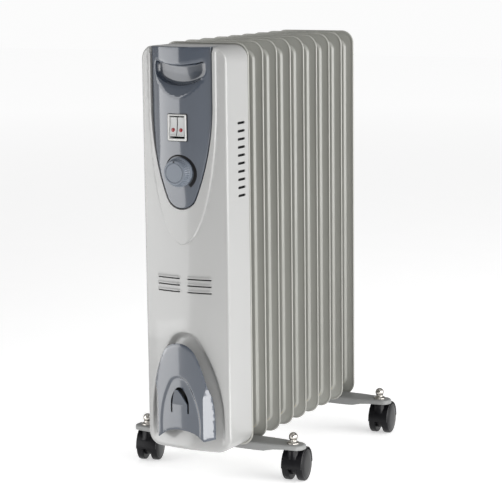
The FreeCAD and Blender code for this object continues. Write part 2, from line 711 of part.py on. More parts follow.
def make_thermostat():
    plate = box("bracket_plate", ("80", "bracket_thick", "112"), ("-40", "bracket_y", "440"))
    gap = box("bracket_gap", ("sleeve_width + 1", "10", "sleeve_height + 1"),
              ("-sleeve_width / 2 - 0.5", "bracket_y - 5", "switch_z - sleeve_height / 2 - 0.5"))
    hole = cylinder("bracket_hole", "5.1", "20", ("0", "bracket_y + 10", "knob_z"), FRONT)
    node("control_bracket", cut("control_bracket", plate, gap, hole))
    back = "bracket_y + bracket_thick"
    posts = []
    for side in (-1, 1):
        for z in (446, 546):
            spot = (f"{side} * 34", "shield_y - shield_thick", str(z))
            posts.append(cylinder("bracket_post", "3", f"shield_y - shield_thick - ({back})", spot, FRONT))
        for z in (180, 540):
            spot = (f"{side} * 42", f"{FIRST_FIN} - emboss_depth", str(z))
            posts.append(cylinder("shield_post", "3", f"{FIRST_FIN} - emboss_depth - shield_y", spot, FRONT))
    node("standoffs", group("standoffs", *posts))
    case = box("thermostat_case", ("34", "22", "30"), ("-17", back, "knob_z - 15"))
    neck = cylinder("thermostat_neck", "5", "10", ("0", back, "knob_z"), FRONT)
    bore = cylinder("thermostat_bore", "shaft_radius + running_gap", "30",
                    ("0", f"{back} + 15", "knob_z"), FRONT)
    node("thermostat_body", cut("thermostat_body", fuse("thermostat_solid", case, neck), bore))
    nut = doc.addObject("Part::Prism", "thermostat_hexagon")
    nut.Polygon = 6
    bind(nut, "Circumradius", "8.5")
    bind(nut, "Height", "3")
    place(nut, "0", "bracket_y", "knob_z", FRONT)
    thread = cylinder("thermostat_thread", "5.05", "20", ("0", "bracket_y + 5", "knob_z"), FRONT)
    node("thermostat_nut", cut("thermostat_nut", nut, thread))

    # the knob is turned about its own shaft, then stood on the panel
    knob = new_body("knob_turned")
    half = new_sketch(knob, "XZ_Plane")
    height = "(knob_rear - knob_front)"
    points = [("shaft_radius", "0"), ("skirt_radius", "0"), ("skirt_radius", "1.2"),
              ("knob_radius + 2.6", "2.2"), ("knob_radius", f"{height} - 1.2"),
              ("knob_radius - 1.2", height), ("14.6", height), ("14.2", f"{height} - 0.6"),
              ("13.8", height), ("0", height), ("0", "8"), ("shaft_radius", "8")]
    polygon(half, points)
    revolve(knob, half)
    node("thermostat_knob", copy("thermostat_knob", knob, "0", "knob_rear", "knob_z", FRONT))
    node("thermostat_shaft", cylinder("thermostat_shaft", "shaft_radius", "36",
                                      ("0", "knob_rear + 28", "knob_z"), FRONT))


# ---------------------------------------------------------------- wiring parts
def make_wiring():
    flange = cylinder("gland_flange", "9", "3", ("0", "gland_y", "cover_bottom - 3"))
    neck = cylinder("gland_neck", "7", "12", ("0", "gland_y", "cover_bottom - 1"))
    bore = cylinder("gland_bore_hole", "gland_bore", "30", ("0", "gland_y", "cover_bottom - 10"))
    node("cord_gland", cut("cord_gland", fuse("gland_solid", flange, neck), bore))
    front = "shield_y - shield_thick"
    block = box("block_solid", ("36", "14", "14"), ("-18", f"{front} - 14", "150"))
    ways = [box("block_way", ("6", "8", "10"), (str(x), f"{front} - 16", "152")) for x in (-14, -3, 8)]
    node("terminal_block", cut("terminal_block", block, *ways))
    spot = ("30", f"{FIRST_FIN} - emboss_depth", "400")
    node("thermal_cutout", cylinder("thermal_cutout", "8", "6", spot, FRONT))
    leads = []
    for x in (-11, 0, 11):
        riser = cylinder("riser", "1.5", "347.4", (str(x), f"{front} - 7", "164"))
        elbow = doc.addObject("Part::Sphere", "lead_elbow")
        elbow.Radius = 2.6
        place(elbow, str(x), f"{front} - 7", "513")
        start = f"{front} - 8.6"
        run = cylinder("run", "1.5", f"{start} - (sleeve_rear + 12)", (str(x), start, "513"), FRONT)
        leads.append(fuse("lead", riser, elbow, run))
    node("leads", group("leads", *leads))


# ---------------------------------------------------------------- cord tidy
def make_tidy():
    body = new_body("tidy_block")
    base = new_sketch(body, "XZ_Plane", "-recess_floor")
    pointed_oval(base, "tidy_width", "tidy_bottom", "recess_shoulder", "tidy_top + 2", "26")
    pad(body, base, "recess_floor - tidy_front - 13")
    wide = new_sketch(body, "XZ_Plane", "-tidy_front - 13")
    pointed_oval(wide, "tidy_width", "tidy_bottom", "recess_shoulder", "tidy_top + 2", "26")
    narrow = new_sketch(body, "XZ_Plane", "-tidy_front")
    pointed_oval(narrow, "tidy_face", "tidy_bottom", "recess_shoulder", "tidy_top - 2", "22")
    loft = body.newObject("PartDesign::AdditiveLoft", "tidy_loft")
    loft.Profile = wide
    loft.Sections = [narrow]
    loft.Ruled = True
    finish(body, loft, removes=False)
    sides = new_sketch(body, "XZ_Plane", "-tidy_front + 5")
    for way in (-1, 1):
        points = [(f"{way} * 36", "tidy_bottom - 5"), (f"{way} * 60", "tidy_bottom - 5"),
                  (f"{way} * 60", "158"), (f"{way} * 43", "158"), (f"{way} * 36", "136")]
        polygon(sides, points if way > 0 else points[::-1])
    pocket(body, sides, "5 + 7")
    hollow = new_sketch(body, "XZ_Plane", "-recess_floor")
    pointed_oval(hollow, "32", "tidy_bottom + 4", "recess_shoulder", "tidy_top - 14", "16")
    pocket(body, hollow, "recess_floor - tidy_front - tidy_wall", reverse=True)
    hook = new_sketch(body, "XZ_Plane", "-tidy_front + 5")
    pointed_oval(hook, "14", "117", "132", "153", "6")
    pocket(body, hook, "5 + 2 * tidy_wall")
    notch = cylinder("tidy_notch", "22", "60", ("0", "recess_floor + 5", "68"), FRONT)
    tongue = new_body("tongue_strip")
    side = new_sketch(tongue, "YZ_Plane", "-10")
    rear = "tidy_front + 2"
    polygon(side, [("tidy_front", "114"), ("tidy_front", "127"), ("tidy_front - 8", "149"),
                   ("tidy_front - 5.8", "149.8"), (rear, "127.6"), (rear, "114")])
    pad(tongue, side, "20")
    screws, holes = [], []
    for side_x in (-1, 1):
        for x, z in TIDY_SCREWS:
            spot = (f"{side_x} * {x}", "recess_floor + cover_sheet + 2", z)
            head = cylinder("tidy_screw_head", "3.2", "2", spot, FRONT)
            shank = cylinder("tidy_screw_shank", "1.5", "13", spot, FRONT)
            screws.append(fuse("tidy_screw", head, shank))
            holes.append(cylinder("tidy_bore", "1.5", "13", spot, FRONT))
    whole = fuse("tidy_whole", body, tongue)
    node("cord_tidy", cut("cord_tidy", whole, notch, *holes))
    node("tidy_screws", group("tidy_screws", *screws))


# ---------------------------------------------------------------- feet
def foot_outline(sketch, inset):
    half, tip = f"foot_half - 6 - {inset}", f"(foot_tip_depth / 2 - {inset})"
    depth = f"(foot_depth / 2 - {inset})"
    points = [("-foot_taper", f"-{depth}"), ("foot_taper", f"-{depth}"), (half, f"-{tip}"), (half, tip),
              ("foot_taper", depth), ("-foot_taper", depth), (f"-({half})", tip), (f"-({half})", f"-{tip}")]
    polygon(sketch, points, {2: (f"{half} + 6", "0"), 6: (f"-({half}) - 6", "0")})


def make_feet():
    body = new_body("foot_block")
    plate = new_sketch(body, "XY_Plane", "foot_top - foot_sheet")
    foot_outline(plate, "0")
    for side in (-1, 1):
        circle(plate, "stem_radius + running_gap", f"{side} * stem_x")
        circle(plate, "bolt_radius + 0.3", f"{side} * bolt_reach")
    pad(body, plate, "foot_sheet")
    flange = new_sketch(body, "XY_Plane", "foot_top - foot_flange")
    foot_outline(flange, "0")
    foot_outline(flange, "foot_sheet")
    pad(body, flange, "foot_flange - foot_sheet")
    relief = new_sketch(body, "XZ_Plane", "40")
    low, high = "foot_top - foot_flange - 1", "foot_top - foot_end_flange"
    for way in (-1, 1):
        points = [(f"{way} * (foot_taper + 2)", low), (f"{way} * (foot_half + 5)", low),
                  (f"{way} * (foot_half + 5)", high), (f"{way} * (foot_taper + 22)", high)]
        polygon(relief, points if way > 0 else points[::-1])
    pocket(body, relief, "80")
    node("foot_front", copy("foot_front", body, "0", f"-{FOOT_LINE}"))
    node("foot_rear", copy("foot_rear", body, "0", FOOT_LINE))

    bolts = []
    for name, way in (("front", -1), ("rear", 1)):
        line = f"{way} * {FOOT_LINE}"
        arch = doc.addObject("Part::Torus", f"bolt_arch_{name}")
        bind(arch, "Radius1", "bolt_reach")
        bind(arch, "Radius2", "bolt_radius")
        arch.Angle3 = 180
        place(arch, "0", line, HEADER_Z, FRONT)
        legs = [cylinder("bolt_leg", "bolt_radius", f"{HEADER_Z} - 45", (f"{side} * bolt_reach", line, "45"))
                for side in (-1, 1)]
        bolts.append(fuse(f"u_bolt_{name}", arch, *legs))
    node("u_bolts", group("u_bolts", *bolts))
    hub = cylinder("wing_hub", "6", "6", ("bolt_reach", FOOT_LINE, "foot_top - foot_sheet - 6"))
    wings = box("wing_plate", ("20", "2.4", "8"),
                ("bolt_reach - 10", f"{FOOT_LINE} - 1.2", "foot_top - foot_sheet - 10"))
    thread = cylinder("wing_thread", "bolt_radius + running_gap", "30", ("bolt_reach", FOOT_LINE, "40"))
    wing = cut("wing_nut", fuse("wing_solid", hub, wings), thread)
    node("wing_nuts", four_corners("wing_nuts", wing))

    spot = ("stem_x", FOOT_LINE, "foot_top")
    washer = cylinder("dome_washer", "9.6", "1.8", spot)
    neck = cylinder("dome_neck", "5.8", "8", spot)
    ball = doc.addObject("Part::Sphere", "dome_ball")
    bind(ball, "Radius", "dome_radius")
    place(ball, "stem_x", FOOT_LINE, "foot_top + dome_height")
    thread = cylinder("dome_thread", "stem_radius + running_gap", "9.5",
                      ("stem_x", FOOT_LINE, "foot_top - 1"))
    nut = cut("dome_nut", fuse("dome_solid", washer, neck, ball), thread)
    node("dome_nuts", four_corners("dome_nuts", nut))
    stem = cylinder("stem_pin", "stem_radius", "34", ("stem_x", FOOT_LINE, "32"))
    collar = cylinder("stem_collar", "7", "5.4", ("stem_x", FOOT_LINE, "foot_top - foot_sheet - 5.4"))
    node("caster_stems", four_corners("caster_stems", fuse("caster_stem", stem, collar)))


# ---------------------------------------------------------------- casters
def make_casters():
    """Hood, axle and two wheels about the stem's axis, trailing towards +Y, then set at each stem."""
    wide = cylinder("shroud", "hood_radius", "2 * hood_half", ("-hood_half", "caster_trail", "wheel_radius"), RIGHT)
    low = box("shroud_low", ("60", "80", "60"), ("-30", "-40", "wheel_radius - 62"))
    web = cylinder("web", "16", "2 * web_half", ("-web_half", "caster_trail", "wheel_radius"), RIGHT)
    boss = cylinder("boss", "8", "foot_top - foot_sheet - 5.4 - 0.4 - 30", ("0", "0", "30"))
    solid = fuse("hood_solid", cut("shroud_upper", wide, low), web, boss)
    tools = []
    for left in ("web_half", "-web_half - 40"):
        tools.append(cylinder("wheel_room", "hood_inner", "40", (left, "caster_trail", "wheel_radius"), RIGHT))
    tools.append(cylinder("stem_room", "stem_radius + running_gap", "40", ("0", "0", "31")))
    tools.append(cylinder("axle_room", "axle_radius", "40", ("-20", "caster_trail", "wheel_radius"), RIGHT))
    hood = cut("hood", solid, *tools)
    axle = cylinder("axle", "axle_radius", "28", ("-14", "caster_trail", "wheel_radius"), RIGHT)
    wheel = new_body("wheel_turned")
    half = new_sketch(wheel, "XZ_Plane")
    bore, rim, width = "axle_radius + running_gap", "wheel_radius", "wheel_width"
    points = [(bore, "0"), (f"{rim} - 1.5", "0"), (rim, "1.5"), (rim, f"{width} - 3.2"),
              (f"{rim} - 4.6", f"{width} - 0.2"), ("8", f"{width} + 0.9"), ("0", f"{width} + 0.9"),
              ("0", "9"), (bore, "9")]
    polygon(half, points, {3: (f"{rim} - 1.3", f"{width} - 1.1")})
    revolve(wheel, half)
    outer = copy("wheel_right", wheel, "web_half + wheel_gap", "caster_trail", "wheel_radius", RIGHT)
    inner = mirror("wheel_left", outer, (1, 0, 0))
    pieces = {"hood": hood, "axle": axle, "left_wheel": inner, "right_wheel": outer}
    for name, (side, end, heading) in CASTERS.items():
        turned = Rotation(Vector(0, 0, 1), heading)
        spot = (f"{side} * stem_x", f"{end} * {FOOT_LINE}", "0", turned)
        for piece, shape in pieces.items():
            node(f"{name}_{piece}", copy(f"{name}_{piece}", shape, *spot))


def write_parts():
    doc.recompute()
    failed = [obj.Name for obj in doc.Objects if "Invalid" in obj.State or "Error" in obj.State]
    bad = [name for name, obj in nodes.items() if obj.Shape.isNull() or not obj.Shape.isValid()]
    if failed or bad:
        raise RuntimeError(f"failed objects {failed}, bad sub-parts {bad}")
    os.makedirs("parts", exist_ok=True)
    for name, obj in nodes.items():
        obj.Shape.exportStep(f"parts/{name}.step")


make_fins()
make_oil(make_element())
make_shield()
make_cover()
make_panel()
make_switch()
make_thermostat()
make_wiring()
make_tidy()
make_feet()
make_casters()
write_parts()
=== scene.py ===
import json
import math
import bmesh
import bpy
import numpy as np
from mathutils import Matrix, Vector
from mathutils.geometry import delaunay_2d_cdt


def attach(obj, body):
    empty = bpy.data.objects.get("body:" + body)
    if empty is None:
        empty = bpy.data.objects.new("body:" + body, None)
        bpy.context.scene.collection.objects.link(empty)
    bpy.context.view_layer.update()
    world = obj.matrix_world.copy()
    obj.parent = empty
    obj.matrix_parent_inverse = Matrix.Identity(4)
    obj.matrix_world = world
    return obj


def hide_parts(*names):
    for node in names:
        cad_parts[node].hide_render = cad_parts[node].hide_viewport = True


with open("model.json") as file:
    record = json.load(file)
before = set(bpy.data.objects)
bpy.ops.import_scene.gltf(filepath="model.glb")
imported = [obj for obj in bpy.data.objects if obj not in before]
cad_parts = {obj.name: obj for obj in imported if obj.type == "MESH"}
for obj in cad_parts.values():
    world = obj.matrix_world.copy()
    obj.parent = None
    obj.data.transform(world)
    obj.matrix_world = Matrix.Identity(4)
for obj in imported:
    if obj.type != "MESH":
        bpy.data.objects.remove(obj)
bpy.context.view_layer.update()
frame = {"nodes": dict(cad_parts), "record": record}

# Looks of an oil filled radiator heater.  Sizes are in millimetres in the row frame and are
# turned into metres where a mesh is made.  X is right, the control cover faces -Y, Z is up.
MM = 0.001
FIN_PITCH = 43.0
FIN_MIDDLE = 347.5
FOOT_LINE = 150.5
CASTERS = {"front_left": (-1, -1, 14), "front_right": (1, -1, 8),
           "rear_left": (-1, 1, -8), "rear_right": (1, 1, 7)}


# ---------------------------------------------------------------- materials
def material(name, color, rough, metal=0.0, coat=0.0, spread=0.06, grain=900.0, bump=0.04,
             blend=0.25, shine=0.5):
    """Principled surface whose colour and roughness vary with two scales of noise."""
    mat = bpy.data.materials.new(name)
    mat.use_nodes = True
    tree = mat.node_tree
    shader = tree.nodes["Principled BSDF"]
    place = tree.nodes.new("ShaderNodeTexCoord")
    broad = tree.nodes.new("ShaderNodeTexNoise")
    broad.inputs["Scale"].default_value = 9.0
    broad.inputs["Detail"].default_value = 3.0
    fine = tree.nodes.new("ShaderNodeTexNoise")
    fine.inputs["Scale"].default_value = grain
    fine.inputs["Detail"].default_value = 2.0
    tint = tree.nodes.new("ShaderNodeMix")
    tint.data_type = "RGBA"
    tint.inputs["A"].default_value = [c * (1 - spread) for c in color] + [1]
    tint.inputs["B"].default_value = [min(1, c * (1 + spread)) for c in color] + [1]
    finish = tree.nodes.new("ShaderNodeMapRange")
    finish.inputs["To Min"].default_value = rough * (1 - blend)
    finish.inputs["To Max"].default_value = min(1, rough * (1 + blend))
    relief = tree.nodes.new("ShaderNodeBump")
    relief.inputs["Strength"].default_value = bump
    relief.inputs["Distance"].default_value = 0.0002
    tree.links.new(place.outputs["Object"], broad.inputs["Vector"])
    tree.links.new(place.outputs["Object"], fine.inputs["Vector"])
    tree.links.new(broad.outputs["Fac"], tint.inputs["Factor"])
    tree.links.new(tint.outputs["Result"], shader.inputs["Base Color"])
    tree.links.new(broad.outputs["Fac"], finish.inputs["Value"])
    tree.links.new(finish.outputs["Result"], shader.inputs["Roughness"])
    tree.links.new(fine.outputs["Fac"], relief.inputs["Height"])
    tree.links.new(relief.outputs["Normal"], shader.inputs["Normal"])
    shader.inputs["Metallic"].default_value = metal
    shader.inputs["Coat Weight"].default_value = coat
    shader.inputs["Coat Roughness"].default_value = 0.06
    shader.inputs["Specular IOR Level"].default_value = shine
    return mat


MATERIALS = {
    "fin_paint": material("fin_paint", (0.30, 0.30, 0.275), 0.36, coat=0.3),
    "cover_paint": material("cover_paint", (0.30, 0.30, 0.295), 0.32, coat=0.5, spread=0.02, blend=0.08),
    "foot_paint": material("foot_paint", (0.20, 0.203, 0.20), 0.38),
    "panel_plastic": material("panel_plastic", (0.040, 0.050, 0.068), 0.15, coat=1.0, bump=0.02),
    "tidy_plastic": material("tidy_plastic", (0.036, 0.045, 0.061), 0.16, coat=1.0, bump=0.02),
    "bezel_plastic": material("bezel_plastic", (0.46, 0.46, 0.45), 0.35),
    "rocker_plastic": material("rocker_plastic", (0.40, 0.405, 0.40), 0.32),
    "lens_plastic": material("lens_plastic", (0.20, 0.003, 0.006), 0.12, coat=0.3),
    "knob_plastic": material("knob_plastic", (0.120, 0.138, 0.165), 0.34),
    "black_plastic": material("black_plastic", (0.006, 0.006, 0.007), 0.5, shine=0.15),
    "caster_plastic": material("caster_plastic", (0.003, 0.003, 0.004), 0.30, spread=0.2, shine=0.22),
    "wheel_plastic": material("wheel_plastic", (0.004, 0.004, 0.005), 0.34, spread=0.2, shine=0.2),
    "zinc_steel": material("zinc_steel", (0.55, 0.56, 0.57), 0.34, metal=1.0, bump=0.1),
    "nut_chrome": material("nut_chrome", (0.46, 0.44, 0.41), 0.09, metal=1.0, bump=0.01),
    "copper_brass": material("copper_brass", (0.62, 0.42, 0.16), 0.35, metal=1.0),
    "gasket_rubber": material("gasket_rubber", (0.02, 0.02, 0.02), 0.75),
    "heating_oil": material("heating_oil", (0.6, 0.42, 0.12), 0.1),
}


def finish_of(node):
    slots = {entry["node"]: entry["material_slot"] for entry in frame["record"]["subparts"]}
    return slots[node]


# ---------------------------------------------------------------- mesh helpers
def build(name, vertices, faces, slot, body="radiator", replaced=(), angle=38):
    """Mesh object from millimetre vertices, joined where points meet, riding on a body."""
    mesh = bpy.data.meshes.new(name)
    mesh.from_pydata((np.asarray(vertices, float) * MM).tolist(), [], [list(map(int, f)) for f in faces])
    work = bmesh.new()
    work.from_mesh(mesh)
    bmesh.ops.remove_doubles(work, verts=work.verts, dist=2e-6)
    bmesh.ops.recalc_face_normals(work, faces=work.faces)
    work.to_mesh(mesh)
    work.free()
    mesh.shade_smooth()
    mesh.set_sharp_from_angle(angle=math.radians(angle))
    return add(name, mesh, slot, body, replaced)


def add(name, mesh, slot, body, replaced=()):
    obj = bpy.data.objects.new(name, mesh)
    bpy.context.scene.collection.objects.link(obj)
    if not mesh.materials:
        mesh.materials.append(MATERIALS[slot])
    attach(obj, body)
    if replaced:
        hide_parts(*replaced)
    return obj


class Shape:
    """Collects patches of vertices and faces into one mesh."""

    def __init__(self):
        self.vertices, self.faces = [], []

    def patch(self, vertices, faces):
        start = len(self.vertices)
        self.vertices += [tuple(v) for v in vertices]
        self.faces += [[start + i for i in face] for face in faces]

    def strips(self, loops, closed=True, keep=None):
        """Quads between successive loops that have equal numbers of points."""
        loops = [np.asarray(loop, float) for loop in loops]
        count = len(loops[0])
        faces = []
        for k in range(len(loops) - 1):
            for i in range(count if closed else count - 1):
                j = (i + 1) % count
                if keep is None or keep(loops[k][i], loops[k][j]):
                    faces.append([k * count + i, k * count + j, (k + 1) * count + j, (k + 1) * count + i])
        self.patch(np.concatenate(loops), faces)

    def cap(self, loop):
        self.patch(loop, [list(range(len(loop)))])

    def lathe(self, profile, segments=64, place=Matrix.Identity(4), sweep=2 * math.pi, start=0.0):
        """Profile of (radius, height) pairs turned about the local Z axis."""
        full = abs(sweep - 2 * math.pi) < 1e-9
        steps = np.linspace(start, start + sweep, segments + (0 if full else 1), endpoint=not full)
        loops = []
        for radius, height in profile:
            ring = [place @ Vector((radius * math.cos(a), radius * math.sin(a), height)) for a in steps]
            loops.append([tuple(p) for p in ring])
        self.strips(loops, closed=full)

    def box(self, low, high, place=Matrix.Identity(4)):
        corners = [(x, y, z) for x in (low[0], high[0]) for y in (low[1], high[1])
                   for z in (low[2], high[2])]
        self.patch([tuple(place @ Vector(c)) for c in corners],
                   [(0, 1, 3, 2), (4, 6, 7, 5), (0, 4, 5, 1), (2, 3, 7, 6), (0, 2, 6, 4), (1, 5, 7, 3)])

    def build(self, *args, **options):
        return build(args[0], self.vertices, self.faces, *args[1:], **options)


# ---------------------------------------------------------------- plane outlines
def arc_points(x, z, radius, start, end, count):
    angles = np.linspace(start, end, count)
    return [(x + radius * math.cos(a), z + radius * math.sin(a)) for a in angles]


def round_rectangle(half, low, high, radius, corner=10, marks=(), along=12):
    """Anticlockwise outline; marks are heights that the straight sides pass through."""
    points = []
    rising = sorted({low + radius, *marks, high - radius})
    across = list(np.linspace(-half + radius, half - radius, along))
    points += arc_points(half - radius, low + radius, radius, -math.pi / 2, 0, corner)
    points += [(half, z) for z in rising[1:-1]]
    points += arc_points(half - radius, high - radius, radius, 0, math.pi / 2, corner)
    points += [(x, high) for x in across[-2:0:-1]]
    points += arc_points(radius - half, high - radius, radius, math.pi / 2, math.pi, corner)
    points += [(-half, z) for z in rising[-2:0:-1]]
    points += arc_points(radius - half, low + radius, radius, math.pi, 1.5 * math.pi, corner)
    points += [(x, low) for x in across[1:-1]]
    return np.array(points)


def pointed_oval(half, flat, shoulder, tip, radius, grow=0.0, flank=36, nose=16, side=8, base=24):
    """Straight sides from a flat end, then arcs that meet a round tip; grow moves it outwards."""
    way = 1 if tip > flat else -1
    half, flat, tip, radius = half + grow, flat - way * grow, tip + way * grow, radius + grow
    centre = tip - way * radius
    rise = abs(centre - shoulder)
    big = (half * half + rise * rise - radius * radius) / (2 * (half - radius))
    meet = math.atan2(rise, big - half)
    right = [(half, z) for z in np.linspace(flat, shoulder, side)[:-1]]
    right += [(half - big + big * math.cos(a), shoulder + way * big * math.sin(a))
              for a in np.linspace(0, meet, flank)]
    right += [(radius * math.cos(a), centre + way * radius * math.sin(a))
              for a in np.linspace(meet, math.pi / 2, nose)[1:]]
    left = [(-x, z) for x, z in right[-2::-1]]
    bottom = [(x, flat) for x in np.linspace(-half, half, base)[1:-1]]
    points = right + left + bottom
    return np.array(points if way > 0 else points[::-1])


def inside(points, loop):
    x, z = points[:, 0], points[:, 1]
    result = np.zeros(len(points), bool)
    ax, az = loop[:, 0], loop[:, 1]
    bx, bz = np.roll(ax, -1), np.roll(az, -1)
    for i in range(len(loop)):
        crosses = (az[i] > z) != (bz[i] > z)
        span = bz[i] - az[i] if bz[i] != az[i] else 1.0
        result ^= crosses & (x < (bx[i] - ax[i]) * (z - az[i]) / span + ax[i])
    return result


def distance(points, loop):
    """Distance to a closed outline, negative inside it."""
    points = np.asarray(points, float)
    best = np.full(len(points), 1e9)
    for i in range(len(loop)):
        a, b = loop[i], loop[(i + 1) % len(loop)]
        along = b - a
        share = np.clip(((points - a) @ along) / max(along @ along, 1e-12), 0, 1)
        gap = points - (a + share[:, None] * along)
        best = np.minimum(best, np.hypot(gap[:, 0], gap[:, 1]))
    return np.where(inside(points, loop), -best, best)


def ramp(value, start, end):
    """Smooth step from 0 at start to 1 at end."""
    share = np.clip((value - start) / (end - start), 0, 1)
    return share * share * (3 - 2 * share)


def sheet(outer, holes=(), creases=(), extra=(), step=4.0):
    """Triangles that fill an outline, leave holes out and follow crease lines inside it."""
    points, edges = [], []
    for loop in [outer, *holes]:
        start = len(points)
        points += [tuple(p) for p in loop]
        edges += [(start + i, start + (i + 1) % len(loop)) for i in range(len(loop))]
    for loop in creases:
        loop = np.asarray(loop, float)
        keep = distance(loop, outer) < -0.7
        for hole in holes:
            keep &= distance(loop, hole) > 0.35
        index = {}
        for i in np.flatnonzero(keep):
            index[i] = len(points)
            points.append(tuple(loop[i]))
        pairs = [(i, (i + 1) % len(loop)) for i in index]
        edges += [(index[i], index[j]) for i, j in pairs if j in index]
    count = len(points)
    fixed = np.array(points)
    low, high = outer.min(0), outer.max(0)
    xs = np.arange(low[0] + step / 2, high[0], step)
    zs = np.arange(low[1] + step / 2, high[1], step * 0.87)
    grid = [(x + (row % 2) * step / 2, z) for row, z in enumerate(zs) for x in xs]
    for spots, room in ((extra, 0.4), (grid, 0.45 * step)):
        spots = np.array(spots, float).reshape(-1, 2)
        if not len(spots):
            continue
        keep = inside(spots, outer)
        for hole in holes:
            keep &= ~inside(spots, hole)
        near = np.full(len(spots), 1e9)
        for p in fixed:
            near = np.minimum(near, np.hypot(spots[:, 0] - p[0], spots[:, 1] - p[1]))
        spots = spots[keep & (near > room)]
        fixed = np.concatenate([fixed, spots])
    points += [tuple(p) for p in fixed[count:]]
    made = delaunay_2d_cdt([Vector(p) for p in points], edges, [], 0, 1e-4)
    flat = np.array([(v.x, v.y) for v in made[0]])
    triangles = np.array(made[2])
    centres = flat[triangles].mean(1)
    keep = inside(centres, outer)
    for hole in holes:
        keep &= ~inside(centres, hole)
    return flat, triangles[keep]


def arch(x, edge, crest, half):
    """Depth of an arc that passes both edges and a crest."""
    sag = edge - crest
    radius = (half * half + sag * sag) / (2 * sag)
    return crest + radius - np.sqrt(np.maximum(radius * radius - np.asarray(x, float) ** 2, 0))


def lift(flat, depth):
    """Points of the XZ plane set at their depths."""
    flat = np.asarray(flat, float)
    return np.column_stack([flat[:, 0], depth(flat), flat[:, 1]])


# ---------------------------------------------------------------- control cover
PANEL = (49, 639.2, 560, 410, 25)
RECESS = (61, 40, 100, 232, 28)
COVER_REAR = -173.8
COVER_ROUND = 4.0
VENT_LOW, VENT_HIGH = 420.0, 536.0

lip_arc = [(55 * math.cos(a), 566 + 207 * math.sin(a)) for a in np.linspace(0, -math.pi, 72)]
lip_side = [(55, z) for z in np.arange(634, 568, -4.0)]
LIP = np.array([(55, 660.0), *lip_side, *lip_arc, *[(-x, z) for x, z in lip_side[::-1]], (-55, 660.0)])
LOUVRES = [(side * 25.0, level) for level in (309.0, 299.4, 289.8) for side in (-1, 1)]


def slot_outline(x, z, half, height, count=6):
    radius = height / 2
    right = arc_points(x + half - radius, z, radius, -math.pi / 2, math.pi / 2, count)
    left = arc_points(x - half + radius, z, radius, math.pi / 2, 1.5 * math.pi, count)
    top = [(v, z + radius) for v in np.linspace(x + half - radius, x - half + radius, 14)[1:-1]]
    low = [(v, z - radius) for v in np.linspace(x - half + radius, x + half - radius, 14)[1:-1]]
    return np.array(right + top + left + low)


def cover_depth(flat):
    x, z = flat[:, 0], flat[:, 1]
    y = arch(x, -236, -246, 69)
    y = y - 2.3 * ramp(distance(flat, LIP), 0.9, -0.9)
    y = y + 5.0 * ramp(distance(flat, pointed_oval(*PANEL)), 1.5, 0.4)
    floor = -238.5 + 7.0 * (x / 61) ** 2
    soft = 7.0
    blend = ramp(distance(flat, pointed_oval(*RECESS)) / soft, 0.05, -1.0) * ramp(z, 58, 95)
    y = y * (1 - blend) + np.maximum(y, floor) * blend
    for across, level in LOUVRES:
        over = np.maximum(np.abs(x - across) - 16, 0)
        reach = np.hypot(over, np.maximum(z - level - 1.1, 0))
        y = y - 2.3 * ramp(reach, 4.6, 0.4) * (z > level + 1.0)
    return y


def cover_sheet(depth, outer):
    holes = [pointed_oval(*PANEL, grow=-4)] + [slot_outline(x, z, 19, 2.3) for x, z in LOUVRES]
    creases = [LIP + (0, 0)]
    creases += [pointed_oval(*PANEL, grow=g) for g in (0.4, 0.9, 1.5)]
    creases += [pointed_oval(*RECESS, grow=g) for g in (0.2, -1, -2, -3, -4, -5.5, -7)]
    centre = LIP.mean(0)
    for gap in (-0.9, -0.4, 0.4, 0.9):
        creases.append(centre + (LIP - centre) * (1 + gap / 60))
    extra = []
    for x, z in LOUVRES:
        extra += [(x + u, z + 1.15 + v) for v in (1.2, 2.4, 3.6, 4.8) for u in np.arange(-20, 20.5, 2)]
    flat, triangles = sheet(outer, holes, creases, extra)
    shape = Shape()
    shape.patch(lift(flat, depth), triangles)
    for hole in holes[1:]:
        front = lift(hole, depth)
        shape.strips([front, front + (0, 2.5, 0)])
    return shape


